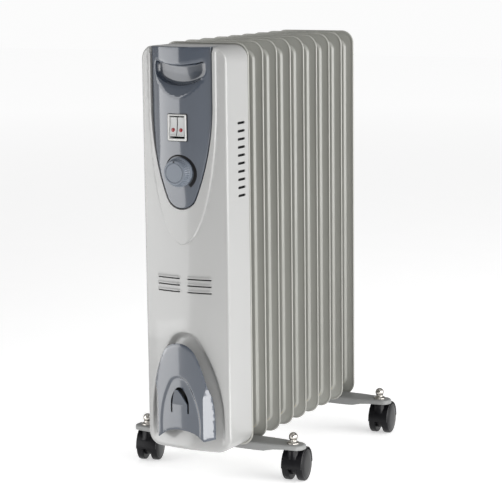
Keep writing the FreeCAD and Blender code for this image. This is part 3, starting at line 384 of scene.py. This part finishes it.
def make_cover():
    def outline(inset):
        marks = [*np.linspace(VENT_LOW, VENT_HIGH, 3), *np.arange(90, 620, 15)]
        return round_rectangle(69 - inset, 57 + inset, 639 - inset, 20 - inset, marks=marks, along=66)

    front = outline(COVER_ROUND)
    shape = cover_sheet(cover_depth, front)
    depth = cover_depth(front)
    loops = []
    for turn in np.linspace(math.pi / 2, 0, 7):
        ring = outline(COVER_ROUND * (1 - math.cos(turn)))
        y = depth + COVER_ROUND * (1 - math.sin(turn))
        loops.append(np.column_stack([ring[:, 0], y, ring[:, 1]]))
    shape.strips(loops)
    edge, wall = loops[-1], outline(0)
    rear = np.column_stack([wall[:, 0], np.full(len(wall), COVER_REAR), wall[:, 1]])

    def solid(a, b):
        return not (abs(abs(a[0]) - 69) < 0.01 and abs(abs(b[0]) - 69) < 0.01
                    and min(a[2], b[2]) > VENT_LOW - 0.1 and max(a[2], b[2]) < VENT_HIGH + 0.1)

    shape.strips([edge, rear], keep=solid)
    thin = outline(1.0)
    inner = np.column_stack([thin[:, 0], np.full(len(thin), COVER_REAR), thin[:, 1]])
    shape.strips([rear, inner, inner - (0, 6, 0)])
    front_y = arch(65, -236, -246, 69) + COVER_ROUND
    steps = np.array(sorted({VENT_LOW, VENT_HIGH, *np.linspace(VENT_LOW, VENT_HIGH, 3),
                             *[z for z in np.arange(90, 620, 15) if VENT_LOW < z < VENT_HIGH]}))
    side = [(front_y, z) for z in steps[::-1]] + [(COVER_REAR, z) for z in steps]
    vents = [slot_outline(-194.8, 426.6 + 11.5 * i, 10.5, 3.6) for i in range(10)]
    flat, triangles = sheet(np.array(side[::-1]), vents, step=7)
    # Black sheets behind the side vent slots are painted shade, so the openings read dark.
    vent_shade_sheets = Shape()
    for x in (-69, 69):
        shape.patch([(x, y, z) for y, z in flat], triangles)
        for vent in vents:
            mouth = np.array([(x, y, z) for y, z in vent])
            shape.strips([mouth, mouth - (math.copysign(1.6, x), 0, 0)])
        back = x - math.copysign(3.0, x)
        corners = [(back, y, z) for y, z in ((-210, 418), (-181, 418), (-181, 538), (-210, 538))]
        vent_shade_sheets.patch(corners, [(0, 1, 2, 3)])
    shape.build("cover_shell", "cover_paint", replaced=["front_cover"], angle=42)
    # The louvre openings get the same painted shade behind them.
    for across, level in LOUVRES:
        vent_shade_sheets.patch([(across + u, -238.5, level + v) for u, v in ((-22, -4), (22, -4), (22, 4), (-22, 4))],
                    [(0, 1, 2, 3)])
    vent_shade_sheets.build("vent_liner", "black_plastic")


# ---------------------------------------------------------------- control panel
GRIP_TOP, GRIP_HALF, GRIP_DROP = 619.5, 40.0, 34.5
SWITCH_Z, KNOB_Z = 526.7, 463.0


def grip_outline(shrink=0.0):
    """Smile shaped opening: half an ellipse below, upright ends and a sagging top edge."""
    level = GRIP_TOP - 13.5
    low = [(GRIP_HALF * math.cos(a), level + (GRIP_DROP - 13.5) * math.sin(a))
           for a in np.linspace(-math.pi, 0, 60)]
    right = [(GRIP_HALF, level + 4), (GRIP_HALF - 0.1, level + 8), (GRIP_HALF - 0.9, level + 11.3),
             (GRIP_HALF - 3.4, level + 12.6)]
    top = [(x, GRIP_TOP - 6.0 + 5.0 * (x / (GRIP_HALF - 3.4)) ** 2) for x in np.linspace(33, -33, 24)]
    left = [(-x, z) for x, z in right[::-1]]
    centre = np.array((0.0, 603.0))
    return centre + (np.array(low + right + top + left) - centre) * (1 - shrink)


def rolled(gap, radius):
    """How far an edge drops away at a distance from it when it is rounded."""
    share = np.clip(1 - gap / radius, 0, 1)
    return radius * (1 - np.sqrt(1 - share * share))


def panel_depth(flat):
    x, z = flat[:, 0], flat[:, 1]
    fall = ramp(z, 505, 405)
    crest = -255 + 7 * fall
    y = crest + (arch(x, -240, -255, 49) + 255) * (1 - 0.45 * fall)
    facet = np.where(z < 594, 0.336 * (z - 568), 8.736 * (606 - z) / 12)
    y = np.maximum(y, -255 + np.where((z > 568) & (z < 606), facet, -9))
    y = y + rolled(-distance(flat, pointed_oval(*PANEL)), 1.8)
    return y + rolled(distance(flat, grip_outline()), 2.2)


def make_panel():
    outer = pointed_oval(*PANEL, side=30, base=50)
    grip = grip_outline()
    window = round_rectangle(14, SWITCH_Z - 18, SWITCH_Z + 18, 1.5, corner=4, along=8)
    shaft = np.array(arc_points(0, KNOB_Z, 6, 0, 2 * math.pi, 33)[:-1])
    centre = np.array((0.0, 603.0))
    creases = [pointed_oval(*PANEL, grow=-g, side=30, base=50) for g in (0.5, 1.1, 1.8)]
    creases += [centre + (grip - centre) * s for s in (1.015, 1.035, 1.06, 1.09)]
    scoop = [(x, 568 + x * x / 58.8) for x in np.linspace(-35, 35, 40)]
    flat, triangles = sheet(outer, [grip, window, shaft], creases, extra=scoop, step=2.6)
    shape = Shape()
    shape.patch(lift(flat, panel_depth), triangles)
    rim = lift(outer, panel_depth)
    back = rim.copy()
    back[:, 1] = np.where(outer[:, 1] > PANEL[1] - 0.01, -222, -235.5)
    shape.strips([rim, back])
    shape.build("panel_shell", "panel_plastic", replaced=["control_panel"], angle=32)

    cup = Shape()
    loops = [lift(grip, panel_depth), lift(grip, panel_depth) + (0, 1.5, 0)]
    bowl = ((0.01, -246), (0.03, -242.5), (0.07, -240.2), (0.12, -239.2), (0.3, -238.2), (0.6, -237.8))
    for shrink, y in bowl:
        ring = grip_outline(shrink)
        sag = 0.0035 * ring[:, 0] ** 2
        loops.append(np.column_stack([ring[:, 0], y + sag, ring[:, 1]]))
    cup.strips(loops)
    cup.cap(loops[-1])
    cup.build("grip_pocket", "tidy_plastic", replaced=["handle_cup"], angle=60)


def turn_x(x, y, z, degrees=0.0):
    return Matrix.Translation((x, y, z)) @ Matrix.Rotation(math.radians(degrees), 4, "X")


def make_switch():
    shape = Shape()
    outer = [round_rectangle(14.9 - g, SWITCH_Z - 19.2 + g, SWITCH_Z + 18.2 - g, 1.6, corner=5, along=4)
             for g in (0, 0, 0.3, 0.8)]
    inner = [round_rectangle(12.4 + g, SWITCH_Z - 16.0 - g, SWITCH_Z + 16.0 + g, 0.8 + g, corner=5, along=4)
             for g in (0.4, 0, 0)]
    loops = []
    for ring, y in zip(outer + inner, (-252, -256.2, -256.9, -257.2, -257.2, -256.6, -247)):
        loops.append(np.column_stack([ring[:, 0], np.full(len(ring), y), ring[:, 1]]))
    shape.strips(loops)
    shape.build("switch_bezel", "bezel_plastic", replaced=["switch_frame"])
    # A black ring around the bezel is painted shade for the shadowed gap between bezel and panel.
    gap_shade = Shape()
    edge = round_rectangle(15.7, SWITCH_Z - 20.1, SWITCH_Z + 19.0, 2, corner=5, along=4)
    flat = np.column_stack([edge[:, 0], np.full(len(edge), -255.4), edge[:, 1]])
    middle = np.array((0, 0, SWITCH_Z))
    gap_shade.strips([middle + (flat - middle) * (0.9, 1, 0.92), flat, flat + (0, 5, 0)])
    gap_shade.build("switch_seam", "black_plastic")
    for name, way in (("left", -1), ("right", 1)):
        place = turn_x(way * 6.3, -249.6, SWITCH_Z, -8)
        rocker = Shape()
        front = [(-8.1 + 2.2 * math.cos(a), 12.9 * math.sin(a)) for a in np.linspace(-1.35, 1.35, 17)]
        profile = front + [(-6.4, 13.6), (-2, 13.8), (3, 8), (3, -8), (-2, -13.8), (-6.4, -13.6)]
        loops = []
        for x, grow in ((-5.5, -0.6), (-5.0, 0), (5.0, 0), (5.5, -0.6)):
            ring = [(x, y - grow * (0.7 if y < -3 else 0), z * (1 + grow / 14)) for y, z in profile]
            loops.append([tuple(place @ Vector(p)) for p in ring])
        rocker.strips(loops)
        rocker.cap(loops[0])
        rocker.cap(loops[-1])
        rocker.build(f"{name}_rocker_key", "rocker_plastic", f"rocker_{name}", [f"rocker_{name}"], angle=30)
        lens = Shape()
        seat = place @ Matrix.Translation((0, -4.6, -4.9)) @ Matrix.Rotation(math.pi / 2, 4, "X")
        dome = [(3.0, 0), (3.0, 1.4)]
        dome += [(3.0 * math.cos(a), 1.4 + 1.0 * math.sin(a)) for a in np.linspace(0.15, math.pi / 2, 7)]
        lens.lathe(dome, 28, seat)
        lens.build(f"{name}_rocker_lens", "lens_plastic", f"rocker_{name}", [f"lens_{name}"])


def make_knob():
    shape = Shape()
    place = Matrix.Translation((0, -255.2, KNOB_Z)) @ Matrix.Rotation(math.pi / 2, 4, "X")
    skirt = [(21.0, -4), (21.4, 0.3), (21.2, 0.9), (20.7, 1.2), (20.0, 1.4), (19.6, 1.9), (19.3, 3.2)]
    rim = [(17.5, 9.9), (17.1, 10.7), (16.3, 11.1), (14.6, 11.15)]
    groove = [(14.3, 10.9), (14.0, 10.4), (13.6, 10.4), (13.3, 10.9), (13.0, 11.15)]
    profile = skirt + rim + groove + [(6, 11.2), (0.05, 11.2)]
    segments = 216
    shape.lathe(profile, segments, place)
    axis = np.array((0, -255.2, KNOB_Z))
    points = np.array(shape.vertices)
    for ring, (radius, height) in enumerate(profile):
        if 3.0 < height < 10.0 and radius > 17:
            rows = slice(ring * segments, (ring + 1) * segments)
            wave = 1 - 0.075 * (np.arange(segments) % 6 < 2)
            points[rows] = axis + (points[rows] - axis) * np.column_stack([wave, np.ones(segments), wave])
    shape.vertices = [tuple(p) for p in points]
    shape.build("knob_cap", "knob_plastic", "thermostat", ["thermostat_knob"], angle=30)
    mark = Shape()
    mark.lathe([(1.3, 0), (1.3, 0.2), (0.05, 0.2)], 20, place @ Matrix.Translation((-0.5, 15.6, 11.05)))
    mark.build("knob_dot", "black_plastic", "thermostat")
    scale = Shape()
    steps = np.linspace(math.radians(165), math.radians(-52), 90)
    loops = []
    for share, rise in ((0, 0.0), (0, 0.5), (1, 0.5), (1, 0.0)):
        ring = []
        for k, a in enumerate(steps):
            reach = 22.4 + share * (0.9 + 3.9 * min(1, 1.2 * k / len(steps)))
            ring.append((math.cos(a) * reach, KNOB_Z + math.sin(a) * reach))
        loops.append(lift(ring, lambda f: panel_depth(f) - rise))
    scale.strips(loops, closed=False)
    scale.build("knob_scale", "black_plastic")


# ---------------------------------------------------------------- cord tidy
def tidy_outline():
    oval = pointed_oval(49, 70, 104, 218.5, 30, nose=24, side=6)
    sides = oval[oval[:, 1] > 79.0]
    foot = [(-49, 78.5), (-43, 77.2), (-37.4, 76.4), (-33, 79.6), (-28, 83.6), (-23, 86.8)]
    roof = [(x, 91 - 0.008 * x * x) for x in np.linspace(-18, 18, 13)]
    return np.concatenate([sides, foot, roof, [(-x, z) for x, z in foot[::-1]]])


HOOK = (15, 116, 128, 154, 7)


def face_half(z):
    """Half width of the front face of the cord tidy, which is cut back below its shoulders."""
    return 42.5 - 5.2 * ramp(np.asarray(z, float), 161, 137)


def tidy_depth(flat):
    x, z = flat[:, 0], flat[:, 1]
    y = arch(x, -259.5, -265.5, 42)
    y = y + 0.87 * np.maximum(np.abs(x) - face_half(z), 0)
    y = y + 2.2 * ramp(distance(flat, pointed_oval(34, 50, 95, 171, 19)), 0.6, -4.2)
    return y + rolled(-distance(flat, tidy_outline()), 0.6)


def make_tidy():
    outer = tidy_outline()
    hook = pointed_oval(*HOOK, flank=12, nose=8, side=4, base=8)
    creases = []
    for gap in (0.35, 0.6):
        inner = pointed_oval(49 - gap, 70, 104, 218.5 - gap, 30 - gap, nose=24)
        creases.append(inner[inner[:, 1] > 82])
    creases += [pointed_oval(34, 50, 95, 171, 19, grow=g) for g in (-4.2, -3.4, -2.5, -1.7, -0.9, 0, 0.6)]
    levels = np.arange(79, 163, 1.5)
    edges = [(way * half, z) for way in (-1, 1) for half, z in zip(face_half(levels), levels)]
    flat, triangles = sheet(outer, [hook], creases, extra=np.array(edges, float), step=2.6)
    shape = Shape()
    shape.patch(lift(flat, tidy_depth), triangles)
    rim = lift(outer, tidy_depth)
    centre = np.array((0.0, 140.0))
    loops = [rim, rim + (0, 1.2, 0)]
    for scale, y in ((0.9, -254.0), (0.6, -250.0), (0.6, -234.0)):
        neck = centre + (outer - centre) * scale
        depth = np.maximum(y, rim[:, 1] + 1.2 + 2 * (1 - scale))
        loops.append(np.column_stack([neck[:, 0], depth, neck[:, 1]]))
    shape.strips(loops)
    mouth = lift(hook, tidy_depth)
    shape.strips([mouth, mouth + (0, 3, 0)])
    rows = []
    for level in (115, 118, 122, 126, 129, 131, 134, 137, 140, 143, 146, 148.5, 150.5, 151.5):
        share = max(level - 129, 0) / 23
        half = 12.2 * (1 - share) ** 0.8 + 1.6 * share
        rows.append([(x, arch(x, -257.4, -263.4, 42) - 9 * share, level)
                     for x in np.linspace(-half, half, 9)])
    for shift in (0, 2.2):
        shape.strips([np.array(row) + (0, shift, 0) for row in rows], closed=False)
    for side in (0, -1):
        line = np.array([row[side] for row in rows])
        shape.strips([line, line + (0, 2.2, 0)], closed=False)
    top = np.array(rows[-1])
    shape.strips([top, top + (0, 2.2, 0)], closed=False)
    shape.build("cord_tidy_moulding", "tidy_plastic", replaced=["cord_tidy", "tidy_screws"], angle=30)
    # A black sheet behind the hook opening is painted shade that makes the hole read dark.
    hook_shade = Shape()
    back = np.column_stack([hook[:, 0] * 1.3, np.full(len(hook), -252.0), 130 + (hook[:, 1] - 130) * 1.3])
    hook_shade.cap(back)
    hook_shade.build("cord_tidy_inside", "black_plastic")


# ---------------------------------------------------------------- fins
def make_fins():
    """Two pressed faces made of rings form a fin; the fins between the ends share one mesh."""
    hem = [(0, 0), (0.1, -0.5), (0.4, -1.0), (0.9, -1.3), (1.5, -1.3), (2.1, -1.1), (2.6, -0.7)]
    flange = [(3.4, -0.6), (12.4, -0.6), (12.9, -0.8)]
    emboss = [(13.5, -1.7), (14.5, -3.6), (15.0, -4.2), (15.8, -4.55), (17, -4.6)]
    profile = hem + flange + emboss
    rows = [-200, -120, -40, 40, 120, 200]

    def half(shape, way):
        loops = []
        for inset, y in profile:
            corner = max(20 - inset * 0.4, 8)
            ring = round_rectangle(70 - inset, inset - 294.5, 294.5 - inset, corner, marks=rows)
            depth = np.full(len(ring), way * y)
            loops.append(np.column_stack([ring[:, 0], depth, FIN_MIDDLE + ring[:, 1]]))
        shape.strips(loops)
        shape.cap(loops[-1])

    def collar(shape, way, height, reach):
        face = math.pi / 2 if way > 0 else -math.pi / 2
        place = Matrix.Translation((0, 0, FIN_MIDDLE + height)) @ Matrix.Rotation(face, 4, "X")
        flare = [(25, 4.5), (22, 5.1), (20, 6.6), (18.6, 9), (18, 12), (18, reach)]
        shape.lathe(flare, 48, place)

    kinds = {"first": (-1,), "middle": (1, -1), "last": (1,)}
    meshes = {}
    for i in range(9):
        kind = "first" if i == 0 else "last" if i == 8 else "middle"
        name = f"radiator_fin_{i + 1}"
        if kind not in meshes:
            shape = Shape()
            half(shape, 1)
            half(shape, -1)
            for way in kinds[kind]:
                for height in (-247.5, 247.5):
                    collar(shape, way, height, FIN_PITCH / 2)
            obj = shape.build(name, "fin_paint", angle=50)
            meshes[kind] = obj.data
        else:
            obj = add(name, meshes[kind], "fin_paint", "radiator")
        obj.parent = None
        obj.matrix_world = Matrix.Translation((0, (i - 4) * FIN_PITCH * MM, 0))
        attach(obj, "radiator")
        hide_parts(f"fin_{i + 1}")


# ---------------------------------------------------------------- feet and casters
def foot_outline(inset):
    corner = [(85, 19), (100, 17.8), (115, 16.3), (128, 14.7), (135, 13.4), (137, 12.6), (141.6, 8.2),
              (143.0, 5.6), (143.2, 0)]
    right = [(x - inset * min(1, max(0, (x - 100) / 40)), y - inset * min(1, y / 10)) for x, y in corner]
    lower = [(x, -y) for x, y in right[-2::-1]]
    quarter = right + lower
    left = [(-x, -y) for x, y in quarter]
    centre = np.linspace(-70, 70, 8)
    top = [(x, 19 - inset) for x in centre]
    low = [(x, inset - 19) for x in centre[::-1]]
    return np.array(top + quarter + low + left)


def make_feet():
    for name, way in (("front", -1), ("rear", 1)):
        shape = Shape()
        loops = []
        for inset, z in ((3.2, 58.5), (2.2, 58.4), (1.1, 57.9), (0.35, 57.0), (0, 55.8)):
            ring = foot_outline(inset)
            loops.append(np.column_stack([ring[:, 0], ring[:, 1], np.full(len(ring), z)]))
        ring = foot_outline(0)
        skirt = 46.5 + 5.0 * ramp(np.abs(ring[:, 0]), 78, 110)
        loops.append(np.column_stack([ring[:, 0], ring[:, 1], skirt]))
        inner = foot_outline(1.4)
        loops.append(np.column_stack([inner[:, 0], inner[:, 1], skirt]))
        loops.append(np.column_stack([inner[:, 0], inner[:, 1], np.full(len(inner), 57.0)]))
        shape.strips(loops)
        shape.cap(loops[0])
        shape.cap(loops[-1])
        points = np.array(shape.vertices) + (0, way * FOOT_LINE, 0)
        shape.vertices = [tuple(p) for p in points]
        shape.build(f"{name}_foot_pressing", "foot_paint", replaced=[f"foot_{name}"], angle=35)
    nuts = Shape()
    for x in (-125, 125):
        for y in (-FOOT_LINE, FOOT_LINE):
            profile = [(0.05, 16.8)]
            profile += [(6.8 * math.sin(a), 10 + 6.8 * math.cos(a)) for a in np.linspace(0.2, 2.2, 14)]
            profile += [(5.6, 4.6), (6.2, 3.4), (8.2, 2.4), (9.3, 1.7), (9.6, 1.0), (9.5, 0.1)]
            nuts.lathe(profile, 40, Matrix.Translation((x, y, 58.5)))
    nuts.build("dome_nut_set", "nut_chrome", replaced=["dome_nuts"], angle=60)


def make_casters():
    side = Matrix.Rotation(math.pi / 2, 4, "Y")
    for name, (across, end, heading) in CASTERS.items():
        spot = Matrix.Translation((across * 125, end * FOOT_LINE, 0))
        stem = spot @ Matrix.Rotation(math.radians(heading), 4, "Z")
        axle = stem @ Matrix.Translation((0, 14, 24)) @ side
        hood = Shape()
        shroud = [(24.9, 15.0), (25.2, 15.5), (26.2, 15.5), (26.7, 15.0), (26.8, 14.2)]
        keel = [(24.9, -5.2), (12, -5.2), (12, 5.2), (24.9, 5.2)]
        ring = shroud + [(r, -h) for r, h in shroud[::-1]] + keel
        hood.lathe(ring + ring[:1], 40, axle, sweep=math.pi * 1.04, start=math.pi * 0.48)
        web = [(0.05, 5.0), (16.3, 5.0), (16.3, -5.0), (0.05, -5.0)]
        hood.lathe(web, 40, axle)
        hood.lathe([(5.5, 50.9), (7.6, 50.9), (8, 50.3), (8.4, 46), (10, 40), (12, 36)], 36, stem)
        for wrap in (-1, 1):
            turn = math.pi * (0.48 if wrap < 0 else 1.52)
            ends = [axle @ Vector((r * math.cos(turn), r * math.sin(turn), h)) for r, h in ring]
            hood.cap([tuple(p) for p in ends])
        hood.build(f"{name}_caster_hood", "caster_plastic", f"{name}_caster", [f"{name}_hood"], angle=35)
        for wheel, way in (("left", -1), ("right", 1)):
            tyre = Shape()
            tread = [(2.6, 5.6), (22.6, 5.6), (23.8, 6.4), (24, 7.4), (24, 13.6), (23.7, 14.8)]
            rim = [(22.9, 15.6), (21.8, 16.1), (20.6, 16.2), (20.1, 15.9), (19.6, 16.2)]
            profile = tread + rim + [(12, 16.9), (5, 17.1), (0.05, 17.1)]
            tyre.lathe([(r, way * h) for r, h in profile], 72, axle)
            tyre.build(f"{name}_{wheel}_tyre", "wheel_plastic", f"{name}_{wheel}_wheel",
                       [f"{name}_{wheel}_wheel"], angle=28)


# ---------------------------------------------------------------- finish, stage, light and camera
def paint_frame():
    """Inner and small parts that are shown as they are take their slot's finish."""
    for name, obj in frame["nodes"].items():
        if not obj.hide_render:
            obj.data.materials.clear()
            obj.data.materials.append(MATERIALS[finish_of(name)])


def area_light(name, spot, aim, width, tall, power, hidden=()):
    """Soft rectangular light that faces a point, hidden from some kinds of ray."""
    lamp = bpy.data.lights.new(name, "AREA")
    lamp.shape = "RECTANGLE"
    lamp.size, lamp.size_y, lamp.energy = width, tall, power
    obj = bpy.data.objects.new(name, lamp)
    bpy.context.scene.collection.objects.link(obj)
    spot = Vector(spot)
    facing = (spot - Vector(aim)).to_track_quat("Z", "Y").to_matrix().to_4x4()
    obj.matrix_world = Matrix.Translation(spot) @ facing
    for kind in ("camera", *hidden):
        setattr(obj, f"visible_{kind}", False)


def make_floor():
    """Pale floor that glows a little more with distance, so that it meets the background."""
    edge = 9
    mesh = bpy.data.meshes.new("floor")
    corners = [(-edge, -edge, 0), (edge, -edge, 0), (edge, edge, 0), (-edge, edge, 0)]
    mesh.from_pydata(corners, [], [(0, 1, 2, 3)])
    paint = material("floor_paint", (0.80, 0.80, 0.80), 0.8, spread=0.01, bump=0.0)
    paint.node_tree.nodes["Principled BSDF"].inputs["Emission Color"].default_value = (1, 1, 1, 1)
    nodes, links = paint.node_tree.nodes, paint.node_tree.links
    place, reach = nodes.new("ShaderNodeTexCoord"), nodes.new("ShaderNodeVectorMath")
    reach.operation = "LENGTH"
    glow = nodes.new("ShaderNodeMapRange")
    for socket, value in (("From Min", 1.2), ("From Max", 6), ("To Min", 0.52), ("To Max", 0.68)):
        glow.inputs[socket].default_value = value
    links.new(place.outputs["Object"], reach.inputs[0])
    links.new(reach.outputs["Value"], glow.inputs["Value"])
    links.new(glow.outputs["Result"], nodes["Principled BSDF"].inputs["Emission Strength"])
    mesh.materials.append(paint)
    floor = bpy.data.objects.new("floor", mesh)
    bpy.context.scene.collection.objects.link(floor)


def make_world():
    """Soft surrounding light, with a brighter background where the camera looks at it."""
    world = bpy.data.worlds.new("studio")
    bpy.context.scene.world = world
    world.use_nodes = True
    tree = world.node_tree
    soft = tree.nodes["Background"]
    soft.inputs["Strength"].default_value = 0.34
    seen = tree.nodes.new("ShaderNodeBackground")
    for node in (soft, seen):
        node.inputs["Color"].default_value = (1, 1, 1, 1)
    seen.inputs["Strength"].default_value = 0.97
    ray, mix = tree.nodes.new("ShaderNodeLightPath"), tree.nodes.new("ShaderNodeMixShader")
    tree.links.new(ray.outputs["Is Camera Ray"], mix.inputs[0])
    tree.links.new(soft.outputs[0], mix.inputs[1])
    tree.links.new(seen.outputs[0], mix.inputs[2])
    tree.links.new(mix.outputs[0], tree.nodes["World Output"].inputs["Surface"])


def make_lights():
    area_light("key_left", (-0.772, -0.886, 0.535), (0, -0.25, 0.535), 0.93, 1.05, 8.0)
    area_light("fill_right", (2.4, -0.2, 0.85), (0, 0, 0.85), 3.2, 1.7, 84)
    area_light("low_fill", (0.320, -0.471, 0.036), (0.045, -0.255, 0.12), 0.12, 0.07, 0.5, ["glossy"])
    area_light("right_card", (0.248, -0.331, 0.085), (0.045, -0.255, 0.12), 0.10, 0.13, 0.24, ["diffuse"])
    area_light("left_card", (-0.188, -0.434, 0.1), (-0.02, -0.262, 0.15), 0.168, 0.185, 0.19, ["diffuse"])
    area_light("top_soft", (0.3, -0.4, 3.0), (0, 0, 0), 3.0, 3.0, 14)


def make_camera():
    turn, rise, roll = 0.501, 0.166, -0.012
    target, distance_away = Vector((-0.0187, -0.0101, 0.3119)), 2.8696
    sensor, lens = 36, 133.58008
    back = Vector((math.sin(turn) * math.cos(rise), -math.cos(turn) * math.cos(rise), math.sin(rise)))
    right = Vector((0, 0, 1)).cross(back).normalized()
    up = back.cross(right)
    across = right * math.cos(roll) + up * math.sin(roll)
    above = up * math.cos(roll) - right * math.sin(roll)
    spot = target + back * distance_away
    camera = bpy.data.objects.new("camera", bpy.data.cameras.new("camera"))
    camera.matrix_world = Matrix.Translation(spot) @ Matrix((across, above, back)).transposed().to_4x4()
    camera.data.sensor_width = sensor
    camera.data.lens = lens
    bpy.context.scene.collection.objects.link(camera)
    bpy.context.scene.camera = camera


make_cover()
make_panel()
make_switch()
make_knob()
make_tidy()
make_fins()
make_feet()
make_casters()
paint_frame()
make_floor()
make_world()
make_lights()
make_camera()
bpy.context.scene.view_settings.view_transform = "Standard"
